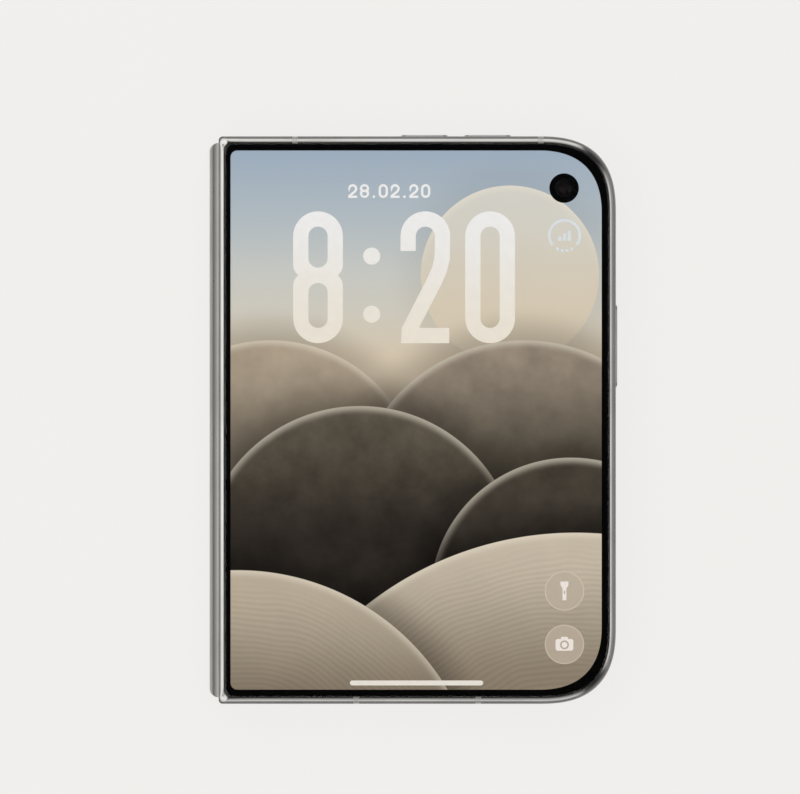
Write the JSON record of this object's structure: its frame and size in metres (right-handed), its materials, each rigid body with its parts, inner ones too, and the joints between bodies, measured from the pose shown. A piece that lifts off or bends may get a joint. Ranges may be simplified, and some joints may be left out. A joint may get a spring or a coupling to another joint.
{
  "type": "foldable smartphone",
  "caption": "Book-style folding phone, shut: a flat cover screen on top, a rounded metal spine at the fold side, keys in the edges and a raised camera bar on the back.",
  "frame": {"origin": "middle of the footprint, on the surface that the shut phone lies on (the plane of the lens rings)", "axes": "+Z out of the cover screen, through the thickness; +Y up the body along the fold, towards the cameras; +X from the spine to the free edge"},
  "size_m": [0.087, 0.1214, 0.0125],
  "materials": {
    "polished_metal": "mirror-polished metal band, lightly warm",
    "spine_metal": "mirror-polished metal spine",
    "key_metal": "mirror-polished metal keys",
    "cover_glass": "clear flat glass with a black ink border behind it",
    "cover_screen": null,
    "back_glass": "satin white glass",
    "plateau": "satin white glass, slightly glossier than the back",
    "lens_ring": "polished metal ring",
    "lens_glass": "clear domed-looking lens cover over a dark barrel",
    "black_barrel": "black lens barrel",
    "flash": "pale yellow diffuser",
    "board": "green circuit board",
    "can": "drawn tin-plated can",
    "battery": "black foil pouch",
    "copper": "enamelled copper winding",
    "port_metal": "stainless shell",
    "black_plastic": "moulded black plastic",
    "antenna_plastic": "pale grey moulded-in plastic",
    "magnet": "nickel-plated magnet",
    "inner_screen": null,
    "plate_metal": "thin steel backing plate",
    "soft_bezel": "soft black bezel",
    "hinge_steel": "machined steel",
    "screw_steel": "bright screws",
    "gear_brass": "sintered gear",
    "flex_amber": "amber flexible circuit"
  },
  "bodies": {
    "rear_half": {"rear_frame": "polished_metal", "back_glass": "back_glass", "camera_plateau": "plateau", "lens_rings": "lens_ring", "lens_glasses": "lens_glass", "camera_modules": "black_barrel", "flash_lens": "flash", "main_board": "board", "shield_can": "can", "rear_battery": "battery", "charging_coil": "copper", "port_shell": "port_metal", "port_tongue": "black_plastic", "loudspeaker": "black_plastic", "vibration_motor": "can", "key_switches": "black_plastic", "rear_antenna_breaks": "antenna_plastic", "rear_magnets": "magnet", "rear_inner_plate": "plate_metal", "inner_screen_rear": "inner_screen", "rear_bezel": "soft_bezel", "rear_swing_arms": "hinge_steel", "rear_arm_screws": "screw_steel"},
    "hinge_spine": {"spine_cover": "spine_metal", "hinge_bases": "hinge_steel", "hinge_pins": "screw_steel", "idler_pins": "screw_steel", "torque_springs": "screw_steel", "base_screws": "screw_steel", "fold_support_strip": "plate_metal", "hinge_flex": "flex_amber", "inner_screen_fold": "inner_screen"},
    "front_half": {"front_frame": "polished_metal", "cover_glass": "cover_glass", "cover_screen": "cover_screen", "cover_camera": "black_barrel", "inner_camera": "black_barrel", "earpiece": "black_plastic", "front_battery": "battery", "sub_board": "board", "front_antenna_breaks": "antenna_plastic", "front_magnets": "magnet", "front_inner_plate": "plate_metal", "inner_screen_front": "inner_screen", "front_bezel": "soft_bezel", "front_swing_arms": "hinge_steel", "front_arm_screws": "screw_steel"},
    "volume_up": {"volume_up_key": "key_metal"},
    "volume_down": {"volume_down_key": "key_metal"},
    "power": {"power_key": "key_metal"},
    "idler_front": {"front_idler_gears": "gear_brass"},
    "idler_rear": {"rear_idler_gears": "gear_brass"}
  },
  "joints": [
    {"name": "fold_rear", "type": "hinge", "parent": "rear_half", "child": "hinge_spine", "pos_m": [-0.04077, 0, 0.0058], "axis": [0, -1, 0], "range_deg": [0, 90], "deforming": ["inner_screen_fold"]},
    {"name": "fold_front", "type": "hinge", "parent": "hinge_spine", "child": "front_half", "pos_m": [-0.04077, 0, 0.0087], "axis": [0, -1, 0], "range_deg": [0, 90]},
    {"name": "idler_front_turn", "type": "hinge", "parent": "hinge_spine", "child": "idler_front", "pos_m": [-0.04182, 0, 0.00791], "axis": [0, -1, 0], "range_deg": [-90, 0]},
    {"name": "idler_rear_turn", "type": "hinge", "parent": "hinge_spine", "child": "idler_rear", "pos_m": [-0.04182, 0, 0.0066], "axis": [0, -1, 0], "range_deg": [0, 90]},
    {"name": "volume_up_press", "type": "slide", "parent": "rear_half", "child": "volume_up", "axis": [0, -1, 0], "range_m": [0, 0.00025], "stiffness_N_per_m": 300, "springref_m": -0.001},
    {"name": "volume_down_press", "type": "slide", "parent": "rear_half", "child": "volume_down", "axis": [0, -1, 0], "range_m": [0, 0.00025], "stiffness_N_per_m": 300, "springref_m": -0.001},
    {"name": "power_press", "type": "slide", "parent": "rear_half", "child": "power", "axis": [-1, 0, 0], "range_m": [0, 0.00025], "stiffness_N_per_m": 300, "springref_m": -0.001}
  ],
  "couplings": [
    {"joint": "fold_front", "follows": "fold_rear", "ratio": 1},
    {"joint": "idler_front_turn", "follows": "fold_rear", "ratio": -1},
    {"joint": "idler_rear_turn", "follows": "fold_rear", "ratio": 1}
  ]
}
